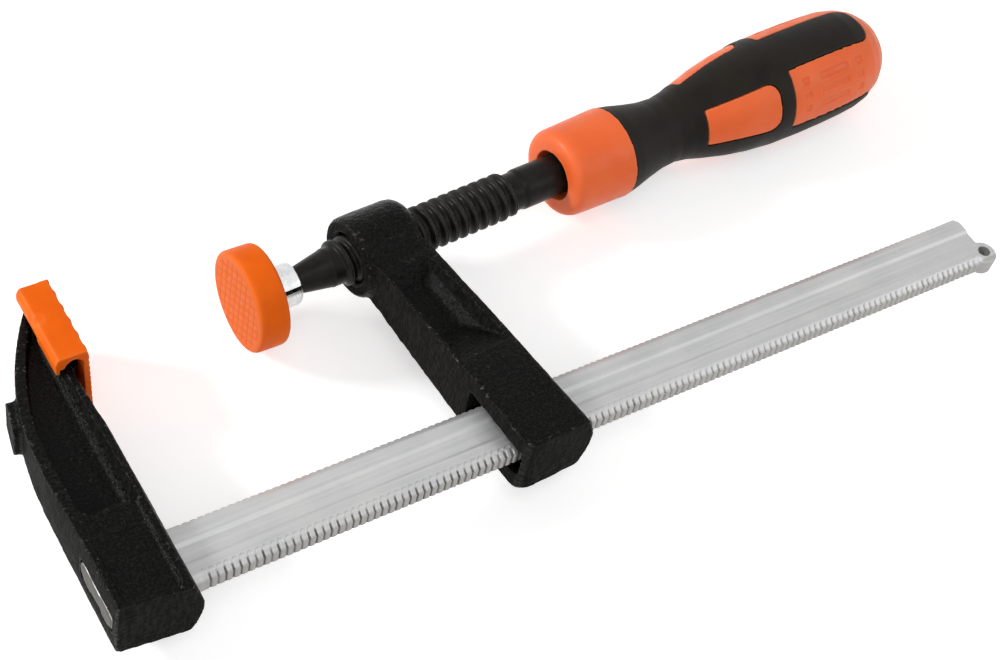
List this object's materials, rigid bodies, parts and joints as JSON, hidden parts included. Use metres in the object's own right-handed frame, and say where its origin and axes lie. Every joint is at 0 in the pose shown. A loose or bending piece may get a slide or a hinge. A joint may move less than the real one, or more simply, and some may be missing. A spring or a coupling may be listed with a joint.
{
  "type": "screw bar clamp",
  "caption": "Small F-shaped bar clamp: toothed rail with a fixed jaw, sliding arm, screw with swivel pad, and a two-part handle.",
  "frame": {"origin": "middle of the fixed jaw's clamping face", "axes": "+X along the rail, from the fixed jaw to the rail's free end; +Y from the rail out to the jaws' tips; +Z across the clamp"},
  "size_m": [0.2631, 0.0953, 0.0295],
  "materials": {
    "zinc_rail": "bright zinc plate, lightly rolled",
    "black_casting": "black powder coat on a sand-cast surface",
    "orange_cap": "soft moulded plastic",
    "black_steel": "black oxide",
    "zinc_small": "zinc plate",
    "orange_core": "hard moulded plastic, satin",
    "black_grip": "soft overmould, fine grain"
  },
  "bodies": {
    "rail_frame": {"rail": "zinc_rail", "fixed_jaw": "black_casting", "fixed_jaw_cap": "orange_cap"},
    "arm": {"sliding_arm": "black_casting"},
    "swivel": {"swivel_ball": "zinc_small"},
    "screw": {"spindle": "black_steel", "handle_core": "orange_core", "handle_grip": "black_grip"},
    "pad": {"pad_plate": "zinc_small", "pad_cap": "orange_cap"}
  },
  "joints": [
    {"name": "arm_slide", "type": "slide", "parent": "rail_frame", "child": "arm", "axis": [1, 0, 0], "range_m": [-0.01, 0.122]},
    {"name": "screw_feed", "type": "slide", "parent": "arm", "child": "swivel", "axis": [-0.9976, -0.0698, 0], "range_m": [-0.012, 0.025]},
    {"name": "screw_turn", "type": "hinge", "parent": "swivel", "child": "screw", "pos_m": [0.04451, -0.0052, 0], "axis": [-0.9976, -0.0698, 0], "range_deg": [-1441, 3001]},
    {"name": "pad_tilt", "type": "hinge", "parent": "swivel", "child": "pad", "pos_m": [0.04451, -0.0052, 0], "axis": [0, 0, 1], "range_deg": [-5, 13]}
  ],
  "couplings": [
    {"joint": "screw_turn", "follows": "screw_feed", "rad_per_m": 2094.4}
  ]
}
